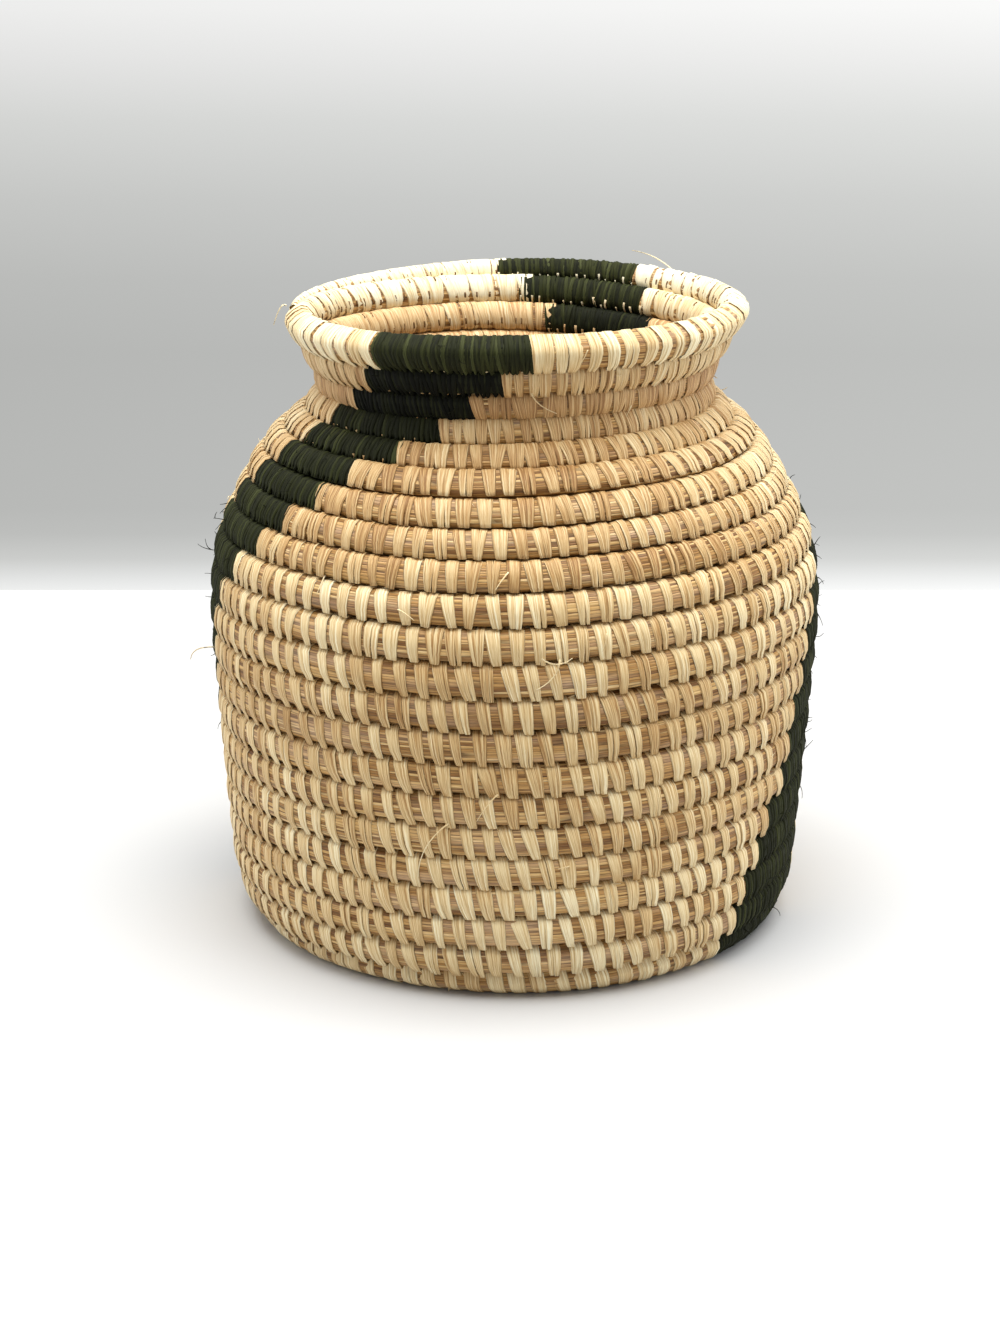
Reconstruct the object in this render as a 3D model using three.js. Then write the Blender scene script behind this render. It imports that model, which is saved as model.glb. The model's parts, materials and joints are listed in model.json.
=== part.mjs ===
// Coiled straw basket with a narrow neck, built as the real one is. One straw coil starts at the middle of
// the base, lies flat out to the foot and climbs the wall to the rim, where it tapers out. Dark dyed raffia
// is wound over it in two stepped bands on opposite sides.
// Millimetres, +Z up, front at -Y. The origin is on the floor, at the basket's axis.
import * as THREE from "three";

// Coil. A row's pitch is the distance from its centre to the next row's centre, along the wall. The wall
// always takes wallTurns turns of coil, so its pitches are scaled together to fit its length.
const wallTurns = 22.75;
const footPitch = 10.2;
const bellyPitch = 10.75;
const shoulderPitch = 9.5;
const rimPitch = 9.5;
const rowGap = 0.5;
const flatShare = 0.46;
const stepsPerLoop = 20;

// Half section of the wall: how far the coil's centre lies from the axis at each station, and how far it has
// risen since the station before.
const footRadius = 85.1;
const heelRadius = 89.4;
const sideRadius = 92.2;
const flankRadius = 94.6;
const bellyRadius = 95.8;
const upperBellyRadius = 93.1;
const shoulderRadius = 85.3;
const slopeRadius = 75;
const neckRootRadius = 67;
const neckRadius = 60.4;
const throatRadius = 64.9;
const rimRadius = 74;
const footRise = 0.9;
const heelRise = 9.2;
const sideRise = 27;
const flankRise = 35;
const bellyRise = 35.5;
const upperBellyRise = 17.5;
const shoulderRise = 17.3;
const slopeRise = 15.2;
const neckRootRise = 7;
const neckRise = 10.5;
const throatRise = 14.6;
const rimRise = 13.9;

// The maker keeps the rim level: at the back the coil sinks by this much between these heights.
const backSettleHeight = 2.6;
const settleFromHeight = 150;
const settleToHeight = 185;

// Base: the first loops have half the steps, and the coil starts as a thin tip beside the axis.
const coarseLoops = 3;
const tipClearance = 0.6;
const tipHalfWidth = 1.2;

// End of the coil at the rim, thinning ever faster over its last stretch.
const taperTurns = 0.7;
const endHalfWidth = 0.9;
const thinEndTurns = 0.1;

// Dark raffia, wound over the coil. The coil is drawn in under it, so a dark row is as thick as a plain one.
const windingThickness = 0.6;
const clearance = 0.3;
const firstDarkRow = 2;
// Left and right edge of the front band, in degrees from the front, at shares of the way from foot to rim.
const bandCourse = [
  { share: 0, left: -137, right: -110 },
  { share: 0.48, left: -105, right: -75 },
  { share: 0.76, left: -66, right: -40 },
  { share: 0.86, left: -57, right: -19 },
  { share: 1, left: -35, right: 5 },
];
const bands = [
  { side: "front", turnedBy: 0 },
  { side: "back", turnedBy: 180 },
];

// Fineness of the wall's measuring, and the gap report's idea of neighbours, in turns apart.
const wallSamples = 2000;
const nextRowFrom = 0.4;
const nextRowTo = 1.5;
// Rings closer than nearStep of a step are taken as one. stepRounding only allows for rounding in sums.
const nearStep = 0.02;
const stepRounding = 1e-6;

const strawFinish = { color: "#c7a674", roughness: 0.8, metalness: 0 };
const darkRaffiaFinish = { color: "#2b2f23", roughness: 0.6, metalness: 0 };

// The wall's half section starts one row inside the foot, where the flat base ends.
const baseCentreHeight = (footPitch - rowGap) / 2;
const baseEdgeRadius = footRadius - footPitch;
const stations = [
  [footRadius, footRise],
  [heelRadius, heelRise],
  [sideRadius, sideRise],
  [flankRadius, flankRise],
  [bellyRadius, bellyRise],
  [upperBellyRadius, upperBellyRise],
  [shoulderRadius, shoulderRise],
  [slopeRadius, slopeRise],
  [neckRootRadius, neckRootRise],
  [neckRadius, neckRise],
  [throatRadius, throatRise],
  [rimRadius, rimRise],
];
const wallPoints = [new THREE.Vector3(baseEdgeRadius, baseCentreHeight, 0)];
for (const [radius, rise] of stations) {
  wallPoints.push(new THREE.Vector3(radius, wallPoints.at(-1).y + rise, 0));
}
const wall = new THREE.CatmullRomCurve3(wallPoints, false, "centripetal");
wall.arcLengthDivisions = wallSamples;
const bellyHeight = baseCentreHeight + footRise + heelRise + sideRise + flankRise + bellyRise;
const shoulderHeight = bellyHeight + upperBellyRise + shoulderRise;
const rimHeight = wallPoints.at(-1).y;
const wallLength = wall.getLength();

function pitchAt(height) {
  const { mapLinear } = THREE.MathUtils;
  if (height < bellyHeight) {
    return mapLinear(height, baseCentreHeight, bellyHeight, footPitch, bellyPitch);
  }
  if (height < shoulderHeight) {
    return mapLinear(height, bellyHeight, shoulderHeight, bellyPitch, shoulderPitch);
  }
  return mapLinear(height, shoulderHeight, rimHeight, shoulderPitch, rimPitch);
}

// Turn 0 is the edge of the flat base at the front, and turns count on up the wall. turnsAlong holds the
// turns taken at the named pitches up to each sample of the wall's length.
const turnsAlong = [0];
for (let sample = 1; sample <= wallSamples; sample += 1) {
  const { y: height } = wall.getPointAt((sample - 0.5) / wallSamples);
  turnsAlong.push(turnsAlong.at(-1) + wallLength / wallSamples / pitchAt(height));
}

// Share of the wall's length that the coil has climbed at a turn.
function climbedAt(turn) {
  const wanted = Math.min(turn / wallTurns, 1) * turnsAlong.at(-1);
  const sample = Math.max(1, turnsAlong.findIndex((turns) => turns >= wanted));
  const before = turnsAlong[sample - 1];
  return (sample - 1 + (wanted - before) / (turnsAlong[sample] - before)) / wallSamples;
}

const rows = Math.floor(wallTurns);

function settledBy(turn, height) {
  const towardsBack = (1 - Math.cos(2 * Math.PI * turn)) / 2;
  const upTheNeck = THREE.MathUtils.smoothstep(height, settleFromHeight, settleToHeight);
  return backSettleHeight * towardsBack * upTheNeck;
}

// Centre of the coil in half section at a turn: flat under the base, then along the wall.
function centreAt(turn) {
  if (turn < 0) {
    return new THREE.Vector3(baseEdgeRadius + footPitch * turn, baseCentreHeight, 0);
  }
  const centre = wall.getPointAt(climbedAt(turn));
  centre.y -= settledBy(turn, centre.y);
  return centre;
}

// The coil's section at a turn: its centre, the direction to the next row, and its half width and half depth.
// The width fills the room between the rows below and above. At the rim the coil thins out on the row below.
function wallSection(turn) {
  const centre = centreAt(turn);
  const below = centre.distanceTo(centreAt(turn - 1));
  const above = turn + 1 <= wallTurns ? centre.distanceTo(centreAt(turn + 1)) : below;
  const fullWidth = (Math.min(below, above) - rowGap) / 2;
  const thinned = THREE.MathUtils.clamp(1 - (wallTurns - turn) / taperTurns, 0, 1) ** 2;
  const width = THREE.MathUtils.lerp(fullWidth, endHalfWidth, thinned);
  const along = THREE.MathUtils.clamp(climbedAt(turn) - (fullWidth - width) / wallLength, 0, 1);
  const { x: radius, y: unsettled } = wall.getPointAt(along);
  const { x: outward, y: upward } = wall.getTangentAt(along);
  const height = unsettled - settledBy(turn, unsettled);
  return { radius, height, outward, upward, width, depth: width };
}

// The base is a flat spiral. Near the axis its inner edge is held clear of the middle, so the coil narrows to
// a tip.
function baseSection(turn) {
  const radius = baseEdgeRadius + footPitch * turn;
  const fullWidth = (footPitch - rowGap) / 2;
  const outerEdge = radius + fullWidth;
  const innerEdge = Math.max(radius - fullWidth, tipClearance);
  const width = (outerEdge - innerEdge) / 2;
  return { radius: innerEdge + width, height: width, outward: 1, upward: 0, width, depth: width };
}

// Six corners, right-handed about the coil's direction. Two flats face out of and into the basket, and under
// the base one of them lies on the floor. An inset draws every face in by the same distance.
function sectionCorners(width, depth, inset) {
  const flat = width * flatShare;
  const slope = Math.hypot(depth, width - flat);
  const tip = width - (inset * slope) / depth;
  const edge = flat - (inset * (slope - (width - flat))) / depth;
  const face = depth - inset;
  return [[tip, 0], [edge, face], [-edge, face], [-tip, 0], [-edge, -face], [edge, -face]];
}

// Every loop has its corners at the same azimuths, so neighbouring rows stay parallel. The corners lie a
// little outside the true round and the flats between them a little inside it.
const roundingOut = 1 / Math.sqrt(Math.cos(Math.PI / stepsPerLoop));

function stepRing(step, inset) {
  const turn = step / stepsPerLoop;
  const section = turn < 0 ? baseSection(turn) : wallSection(turn);
  const azimuth = 2 * Math.PI * turn;
  return sectionCorners(section.width, section.depth, inset).map(([onward, out]) => {
    const radius = (section.radius + onward * section.outward + out * section.upward) * roundingOut;
    const height = section.height + onward * section.upward - out * section.outward;
    return new THREE.Vector3(radius * Math.sin(azimuth), -radius * Math.cos(azimuth), Math.max(height, 0));
  });
}

// A ring between two steps lies on the straight stretch that joins them.
function ringAt(turn, inset) {
  const place = turn * stepsPerLoop;
  const step = Math.round(place);
  if (Math.abs(place - step) < stepRounding) {
    return stepRing(step, inset);
  }
  const next = stepRing(Math.ceil(place), inset);
  const share = place - Math.floor(place);
  return stepRing(Math.floor(place), inset).map((corner, i) => corner.lerp(next[i], share));
}

// Joins rings of equal count into a closed skin: capped at both ends, or on from the last ring to the first.
function skinOf(rings, capped) {
  const sides = rings[0].length;
  const positions = rings.flat().flatMap((corner) => corner.toArray());
  const faces = [];
  const joins = capped ? rings.length - 1 : rings.length;
  for (let ring = 0; ring < joins; ring += 1) {
    const next = (ring + 1) % rings.length;
    for (let side = 0; side < sides; side += 1) {
      const across = (side + 1) % sides;
      const a = ring * sides + side;
      const b = ring * sides + across;
      const c = next * sides + across;
      const d = next * sides + side;
      faces.push(a, b, c, a, c, d);
    }
  }
  if (capped) {
    const last = (rings.length - 1) * sides;
    for (let side = 1; side < sides - 1; side += 1) {
      faces.push(0, side + 1, side);
      faces.push(last, last + side, last + side + 1);
    }
  }
  const geometry = new THREE.BufferGeometry();
  geometry.setAttribute("position", new THREE.Float32BufferAttribute(positions, 3));
  geometry.setIndex(faces);
  geometry.computeVertexNormals();
  return geometry;
}

function bandEdges(share) {
  const upper = Math.max(1, bandCourse.findIndex((place) => place.share >= share));
  const from = bandCourse[upper - 1];
  const to = bandCourse[upper];
  const mix = (share - from.share) / (to.share - from.share);
  return {
    left: THREE.MathUtils.lerp(from.left, to.left, mix),
    right: THREE.MathUtils.lerp(from.right, to.right, mix),
  };
}

// The stretches of coil that are wound dark, lowest first. Rows are numbered from the foot, and a winding
// that would reach the coil's thin end is left out.
const windings = [];
for (let row = firstDarkRow; row <= rows; row += 1) {
  const { left, right } = bandEdges((row - 1) / (rows - 1));
  for (const { side, turnedBy } of bands) {
    const from = row + (left + turnedBy) / 360;
    const to = row + (right + turnedBy) / 360;
    if (to < wallTurns - thinEndTurns) {
      windings.push({ name: `${side}_dark_band_row_${String(row).padStart(2, "0")}`, from, to });
    }
  }
}

// Corners of a ring and the points halfway between them.
function rimPoints(corners) {
  return corners.flatMap((corner, i) => {
    const next = corners[(i + 1) % corners.length];
    return [corner, corner.clone().lerp(next, 0.5)];
  });
}

// Least distance between points of neighbouring loops, and across the middle of the base.
function leastGap(rings) {
  const points = rings.map((ring) => rimPoints(ring.corners));
  let least = Infinity;
  for (let i = 0; i < rings.length; i += 1) {
    for (let j = i + 1; j < rings.length && rings[j].turn - rings[i].turn < nextRowTo; j += 1) {
      if (rings[j].turn - rings[i].turn > nextRowFrom) {
        for (const point of points[i]) {
          least = Math.min(least, ...points[j].map((other) => point.distanceTo(other)));
        }
      }
    }
  }
  return least;
}

function coilMesh(name, rings) {
  console.log(`${name}: least gap to itself ${leastGap(rings).toFixed(2)} mm`);
  const skin = skinOf(rings.map((ring) => ring.corners), true);
  const mesh = new THREE.Mesh(skin, new THREE.MeshStandardMaterial(strawFinish));
  mesh.name = name;
  return mesh;
}

// The flat spiral of the base, from its thin tip out to just before the wall coil's first face.
function makeBaseCoil() {
  const baseTurns = baseEdgeRadius / footPitch;
  const tipTurn = -baseTurns + (2 * tipHalfWidth + tipClearance - baseCentreHeight) / footPitch;
  const endOfBase = -clearance / (2 * Math.PI * baseEdgeRadius);
  const coarseEnd = tipTurn + coarseLoops;
  const rings = [{ turn: tipTurn, corners: ringAt(tipTurn, 0) }];
  for (let step = Math.ceil(tipTurn * stepsPerLoop + 0.5); step < 0; step += 1) {
    const turn = step / stepsPerLoop;
    if (turn > coarseEnd || step % 2 === 0) {
      rings.push({ turn, corners: ringAt(turn, 0) });
    }
  }
  rings.push({ turn: endOfBase, corners: ringAt(endOfBase, 0) });
  return coilMesh("base_coil", rings);
}

// One unbroken tube from the foot to the rim. Each dark winding has a shoulder at either end, where the coil
// draws in.
function makeWallCoil() {
  const drawnIn = windingThickness + clearance;
  const stops = [{ turn: 0, inset: 0 }, { turn: wallTurns, inset: 0 }];
  for (const { from, to } of windings) {
    stops.push({ turn: from, inset: 0 }, { turn: from, inset: drawnIn });
    stops.push({ turn: to, inset: drawnIn }, { turn: to, inset: 0 });
  }
  for (let step = 1; step < wallTurns * stepsPerLoop; step += 1) {
    const turn = step / stepsPerLoop;
    const wound = windings.some(({ from, to }) => turn > from && turn < to);
    if (stops.every((stop) => Math.abs(stop.turn - turn) * stepsPerLoop > nearStep)) {
      stops.push({ turn, inset: wound ? drawnIn : 0 });
    }
  }
  stops.sort((one, other) => one.turn - other.turn);
  const rings = stops.map(({ turn, inset }) => ({ turn, corners: ringAt(turn, inset) }));
  return coilMesh("wall_coil", rings);
}

// A dark winding is a sleeve round the drawn-in coil, one block in each row.
function makeWinding({ name, from, to }) {
  const middle = ringAt((from + to) / 2, 0)[0];
  const endRoom = clearance / (2 * Math.PI * Math.hypot(middle.x, middle.y));
  const start = from + endRoom;
  const end = to - endRoom;
  const turns = [start];
  const firstStep = Math.ceil(start * stepsPerLoop + nearStep);
  for (let step = firstStep; step < end * stepsPerLoop - nearStep; step += 1) {
    turns.push(step / stepsPerLoop);
  }
  turns.push(end);
  const outer = turns.map((turn) => ringAt(turn, 0));
  const inner = turns.map((turn) => ringAt(turn, windingThickness)).reverse();
  const skin = skinOf([...outer, ...inner], false);
  const mesh = new THREE.Mesh(skin, new THREE.MeshStandardMaterial(darkRaffiaFinish));
  mesh.name = name;
  return mesh;
}

const basket = new THREE.Group();
basket.name = "coiled_basket";
basket.add(makeBaseCoil(), makeWallCoil(), ...windings.map(makeWinding));

export default basket;
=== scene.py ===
import json
import math
import random

import bpy
import numpy as np
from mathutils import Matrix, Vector

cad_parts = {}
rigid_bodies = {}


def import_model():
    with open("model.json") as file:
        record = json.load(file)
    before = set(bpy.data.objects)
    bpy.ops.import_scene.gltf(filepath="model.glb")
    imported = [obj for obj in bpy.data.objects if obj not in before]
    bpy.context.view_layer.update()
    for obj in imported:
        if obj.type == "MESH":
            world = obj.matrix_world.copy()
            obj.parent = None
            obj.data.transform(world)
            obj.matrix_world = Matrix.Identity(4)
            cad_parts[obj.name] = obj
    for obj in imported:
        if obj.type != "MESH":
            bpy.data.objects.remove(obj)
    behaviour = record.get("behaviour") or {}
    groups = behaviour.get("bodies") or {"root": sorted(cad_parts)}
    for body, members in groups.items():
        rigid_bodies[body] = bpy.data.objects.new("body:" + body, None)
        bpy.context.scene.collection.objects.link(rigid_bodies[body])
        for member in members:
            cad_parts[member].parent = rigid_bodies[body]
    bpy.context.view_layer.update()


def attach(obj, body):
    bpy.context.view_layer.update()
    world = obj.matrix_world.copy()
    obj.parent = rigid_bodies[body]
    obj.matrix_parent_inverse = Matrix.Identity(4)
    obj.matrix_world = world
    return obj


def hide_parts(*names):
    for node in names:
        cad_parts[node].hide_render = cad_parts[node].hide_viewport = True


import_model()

# The coil's path.
# One straw coil starts at the middle of the base, lies flat out to the foot and climbs the wall to the rim, where its
# end thins out and is bound down. Everything else on the basket is wound or sewn over this one line.
MM = 0.001
FOOT_PITCH = 10.2
BELLY_PITCH = 10.75
SHOULDER_PITCH = 9.5
RIM_PITCH = 9.5
BASE_CENTRE_HEIGHT = 4.85
BASE_EDGE_RADIUS = 74.9
# Radius of the coil's centre at each station of the wall, and its rise since the station before, as in the solids.
STATIONS = (
    (85.1, 0.9), (89.4, 9.2), (92.2, 27), (94.6, 35), (95.8, 35.5), (93.1, 17.5),
    (85.3, 17.3), (75, 15.2), (67, 7), (60.4, 10.5), (64.9, 14.6), (74, 13.9),
)
BELLY_STATION = 5
SHOULDER_STATION = 7
SAMPLES_PER_SPAN = 200
# The end thins over its last part of a turn and sinks onto the row below. The start is thin too, beside the axis.
END_TURN = 22.75
TAPER_TURNS = 0.7
END_HALF_WIDTH = 1.1
END_SUNK = 1.5
TIP_RADIUS = 0.5
TIP_HALF_WIDTH = 1.4
# The rim is kept level: at the back the coil sinks by this much between these heights.
BACK_SETTLE = 2.6
SETTLE_HEIGHTS = (150, 185)
# A hand-made wall is a little out of round, its rows wave a little, and the bundle is not equally thick all along.
# The foot stays flat and true, and each wave leans by a radian over its height.
OUT_OF_ROUND = 0.45
WAVE = 0.3
LUMPS = 0.012
LUMPS_PER_TURN = (2.37, 5.1)
TRUE_HEIGHT = 30
SWAY_START = 0.8
SWAY_HEIGHTS = (90, 40)
WAVE_HEIGHT = 25
# Turns to each side over which the coil's direction is taken.
NEAR_TURNS = 0.02


def centripetal_curve(points):
    """Dense points on the centripetal Catmull-Rom curve through the stations."""
    ends = np.vstack([2 * points[0] - points[1], points, 2 * points[-1] - points[-2]])
    share = np.linspace(0, 1, SAMPLES_PER_SPAN, endpoint=False)[:, None]
    spans = []
    for p0, p1, p2, p3 in zip(ends, ends[1:], ends[2:], ends[3:]):
        d0, d1, d2 = (math.sqrt(np.linalg.norm(b - a)) for a, b in ((p0, p1), (p1, p2), (p2, p3)))
        t1 = ((p1 - p0) / d0 - (p2 - p0) / (d0 + d1) + (p2 - p1) / d1) * d1
        t2 = ((p2 - p1) / d1 - (p3 - p1) / (d1 + d2) + (p3 - p2) / d2) * d1
        cubic = 2 * p1 - 2 * p2 + t1 + t2
        square = -3 * p1 + 3 * p2 - 2 * t1 - t2
        spans.append(p1 + t1 * share + square * share**2 + cubic * share**3)
    return np.vstack([*spans, points[-1]])


station_points = [(BASE_EDGE_RADIUS, BASE_CENTRE_HEIGHT)]
for radius, rise in STATIONS:
    station_points.append((radius, station_points[-1][1] + rise))
station_points = np.array(station_points)
wall_profile = centripetal_curve(station_points)
wall_arc = np.concatenate([[0], np.cumsum(np.linalg.norm(np.diff(wall_profile, axis=0), axis=1))])
wall_pitch = np.interp(
    wall_profile[:, 1],
    station_points[[0, BELLY_STATION, SHOULDER_STATION, -1], 1],
    (FOOT_PITCH, BELLY_PITCH, SHOULDER_PITCH, RIM_PITCH),
)
wall_turns = np.concatenate([[0], np.cumsum(np.diff(wall_arc) * 2 / (wall_pitch[1:] + wall_pitch[:-1]))])
wall_turns *= END_TURN / wall_turns[-1]
ROWS = int(END_TURN)
START_TURN = (TIP_RADIUS - BASE_EDGE_RADIUS) / FOOT_PITCH


def profile_at(turn):
    """Centre (radius, height) of a full coil in half section. Turn 0 is the flat base's edge at the front."""
    over = np.maximum(turn - wall_turns[-1], 0)[..., None] * RIM_PITCH
    end_run = (wall_profile[-1] - wall_profile[-2]) / np.linalg.norm(wall_profile[-1] - wall_profile[-2])
    radius = np.interp(turn, wall_turns, wall_profile[:, 0]) + np.minimum(turn, 0) * FOOT_PITCH
    return np.stack([radius, np.interp(turn, wall_turns, wall_profile[:, 1])], -1) + over * end_run


def towards_back(turn):
    """0 at the front and 1 at the back."""
    return (1 - np.cos(2 * math.pi * turn)) / 2


def coil_at(turn):
    """Centre, outward and onward directions and half width of the coil at an array of turns."""
    turn = np.asarray(turn, float)
    azimuth = 2 * math.pi * turn
    here = profile_at(turn)
    onward = profile_at(turn + NEAR_TURNS) - profile_at(turn - NEAR_TURNS)
    onward /= np.linalg.norm(onward, axis=1, keepdims=True)
    below = np.linalg.norm(here - profile_at(turn - 1), axis=1)
    above = np.linalg.norm(here - profile_at(turn + 1), axis=1)
    room = np.minimum(below, above) / 2
    room = np.minimum(room, np.maximum((here[:, 0] + room) / 2, TIP_HALF_WIDTH))
    thinned = np.clip((turn - END_TURN) / TAPER_TURNS + 1, 0, 1) ** 2
    lost = (room - END_HALF_WIDTH) * thinned
    slow, quick = (np.sin(azimuth * lumps) for lumps in LUMPS_PER_TURN)
    half = (room - lost) * (1 + LUMPS * (slow + quick))
    here = here - onward * (lost + END_SUNK * thinned**3)[:, None]
    risen = np.clip(here[:, 1] / TRUE_HEIGHT, 0, 1)
    settled = np.clip((here[:, 1] - SETTLE_HEIGHTS[0]) / (SETTLE_HEIGHTS[1] - SETTLE_HEIGHTS[0]), 0, 1)
    sway = np.sin(2 * azimuth + SWAY_START + here[:, 1] / SWAY_HEIGHTS[0])
    sway = sway + 0.5 * np.sin(3 * azimuth + here[:, 1] / SWAY_HEIGHTS[1])
    here[:, 0] += OUT_OF_ROUND * sway * risen
    here[:, 1] += WAVE * np.sin(4 * azimuth + here[:, 1] / WAVE_HEIGHT) * risen
    here[:, 1] -= BACK_SETTLE * towards_back(turn) * settled**2 * (3 - 2 * settled)
    radial = np.stack([np.sin(azimuth), -np.cos(azimuth), np.zeros(len(turn))], -1)
    upright = np.array([[0, 0, 1.0]])
    centre = radial * here[:, :1] + upright * here[:, 1:]
    out = radial * onward[:, 1:] - upright * onward[:, :1]
    up = radial * onward[:, :1] + upright * onward[:, 1:]
    return centre, out, up, half


# Straw coil.
# A bundle of dry grass stalks as thick as a finger, which shows between the stitches as fine pale and brown stalks
# running along the row. The raffia draws it in, so it lies just under the stitches.
STEPS_PER_LOOP = 88
LEAST_STEP = 0.001
SECTION_POINTS = 40
# The bundle's depth and rise as shares of the coil's half width, and how deep the stitches over it are.
STRAW_DEPTH = 0.94
STRAW_RISE = 0.97
DEPTH_SHARE = 0.98
SQUARENESS = 3.1
OVERHANG = 0.05
# Unevenness of the bundle's skin, in waves along a turn and round the section.
SKIN_LUMPS = 0.008
SKIN_WAVES = (61.0, 17)
COIL_GIRTH = 32.0
FLOOR_TOUCH = 0.02


def section_round(angle):
    """Out and onward shares of a squared round at an angle from the outward direction. Its lower edge hangs out."""
    across, onward = np.cos(angle), np.sin(angle)
    size = (np.abs(across) ** SQUARENESS + np.abs(onward) ** SQUARENESS) ** (-1 / SQUARENESS)
    return (across - OVERHANG * onward) * size, onward * size


def skin(name, tubes, scale=MM):
    """One mesh of closed tubes. Each is (rings, uvs): rings of equal count, and a UV for each corner and the seam."""
    points, faces, uvs = [], [], []
    start = 0
    for rings, marks in tubes:
        count, sides = rings.shape[:2]
        ids = start + np.arange(count * sides).reshape(count, sides)
        onward = np.roll(ids, -1, axis=1)
        quads = np.stack([ids[:-1], onward[:-1], onward[1:], ids[1:]], -1).reshape(-1, 4)
        quad_uvs = np.stack([marks[:-1, :-1], marks[:-1, 1:], marks[1:, 1:], marks[1:, :-1]], -2).reshape(-1, 4, 2)
        caps = [ids[0][::-1], ids[-1]]
        cap_uvs = [marks[0, :-1][::-1], marks[-1, :-1]]
        flat = rings.reshape(-1, 3)
        a, b, c, d = (flat[quads[:, i] - start] for i in range(4))
        volume = np.einsum("ij,ij->i", a, np.cross(b, c)) + np.einsum("ij,ij->i", a, np.cross(c, d))
        if volume.sum() < 0:
            quads, quad_uvs = quads[:, ::-1], quad_uvs[:, ::-1]
            caps, cap_uvs = [cap[::-1] for cap in caps], [cap[::-1] for cap in cap_uvs]
        points.append(flat)
        faces += quads.tolist() + [cap.tolist() for cap in caps]
        uvs += [quad_uvs.reshape(-1, 2), *cap_uvs]
        start += len(flat)
    mesh = bpy.data.meshes.new(name)
    mesh.from_pydata((np.vstack(points) * scale).tolist(), [], faces)
    mesh.uv_layers.new(name="UVMap").data.foreach_set("uv", np.vstack(uvs).astype(np.float32).ravel())
    mesh.polygons.foreach_set("use_smooth", np.ones(len(faces), bool))
    return mesh


def show(name, mesh):
    """Puts a mesh in the scene as an object at the origin."""
    piece = bpy.data.objects.new(name, mesh)
    bpy.context.scene.collection.objects.link(piece)
    return piece


def tube(first, last, depth, rise):
    """A closed tube along the coil between two turns, at shares of the section's depth and rise. UVs are in mm.
    All tubes bend at the same turns, so that one fits inside the other."""
    turns = np.arange(math.ceil(first * STEPS_PER_LOOP), last * STEPS_PER_LOOP) / STEPS_PER_LOOP
    turns = np.concatenate([[first], turns[(turns > first + LEAST_STEP) & (turns < last - LEAST_STEP)], [last]])
    centre, out, up, half = coil_at(turns)
    angle = 2 * math.pi * np.arange(SECTION_POINTS) / SECTION_POINTS - math.pi / 2
    across, onward = section_round(angle)
    along, around = SKIN_WAVES
    lumps = SKIN_LUMPS * np.sin(turns * along)[:, None] * np.sin(angle + turns[:, None] * around)
    reach = half[:, None] * (1 + lumps)
    rings = centre[:, None] + out[:, None] * (reach * depth * across)[..., None]
    rings = rings + up[:, None] * (reach * rise * onward)[..., None]
    rings[..., 2] = np.maximum(rings[..., 2], FLOOR_TOUCH)
    run = np.concatenate([[0], np.cumsum(np.linalg.norm(np.diff(centre, axis=0), axis=1))])
    seam = np.arange(SECTION_POINTS + 1) * COIL_GIRTH / SECTION_POINTS
    return rings, np.stack(np.broadcast_arrays(run[:, None], seam[None]), -1)


def linear(colour):
    """An sRGB hex colour as linear RGBA."""
    channels = [int(colour[i : i + 2], 16) / 255 for i in (1, 3, 5)]
    return [c / 12.92 if c <= 0.04045 else ((c + 0.055) / 1.055) ** 2.4 for c in channels] + [1.0]


def add_node(tree, kind, inputs=None, **settings):
    """Adds a node with its settings. Each input is named or numbered, and takes a plain value or a socket to link."""
    made = tree.nodes.new(kind)
    for name, value in settings.items():
        setattr(made, name, value)
    for key, value in (inputs or {}).items():
        if isinstance(value, bpy.types.NodeSocket):
            tree.links.new(value, made.inputs[key])
        else:
            made.inputs[key].default_value = value
    return made


def colour_steps(tree, factor, steps):
    """Colour from a ramp of (place, hex colour) pairs."""
    ramp = add_node(tree, "ShaderNodeValToRGB", {0: factor})
    while len(ramp.color_ramp.elements) < len(steps):
        ramp.color_ramp.elements.new(0.5)
    for element, (place, colour) in zip(ramp.color_ramp.elements, steps):
        element.position = place
        element.color = linear(colour)
    return ramp.outputs["Color"]


def new_material(name):
    material = bpy.data.materials.new(name)
    material.use_nodes = True
    return material, material.node_tree, material.node_tree.nodes["Principled BSDF"]


# Dry grass straw: satin stalks along the coil, each its own tone, with thin gaps between them that are darkened as
# painted shade. The stalks' size is in mm. The fine streaks and the pale patches are given per mm along and across the
# stalks. Real streaks are finer, and are drawn as coarse as they need to show.
STALK_WIDTH = 0.85
STALK_LENGTH = 40.0
STREAKS = (0.12, 3.5, 0)
PALE_PATCHES = (0.022, 0.16, 0)
straw, tree, surface = new_material("dry_grass_straw")
place = add_node(tree, "ShaderNodeUVMap", uv_map="UVMap").outputs[0]
stalk_place = add_node(
    tree, "ShaderNodeVectorMath", {0: place, 1: (1 / STALK_LENGTH, 1 / STALK_WIDTH, 0)}, operation="MULTIPLY"
).outputs[0]
stalks = add_node(tree, "ShaderNodeTexVoronoi", {"Vector": stalk_place, "Scale": 1.0}, voronoi_dimensions="2D")
gaps = add_node(
    tree,
    "ShaderNodeTexVoronoi",
    {"Vector": stalk_place, "Scale": 1.0},
    voronoi_dimensions="2D",
    feature="DISTANCE_TO_EDGE",
).outputs["Distance"]
stalk_shade = add_node(tree, "ShaderNodeSeparateColor", {0: stalks.outputs["Color"]}).outputs[0]
fine_place = add_node(tree, "ShaderNodeVectorMath", {0: place, 1: STREAKS}, operation="MULTIPLY").outputs[0]
fine = add_node(tree, "ShaderNodeTexNoise", {"Vector": fine_place, "Scale": 1.0, "Detail": 3.0}).outputs[0]
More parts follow.
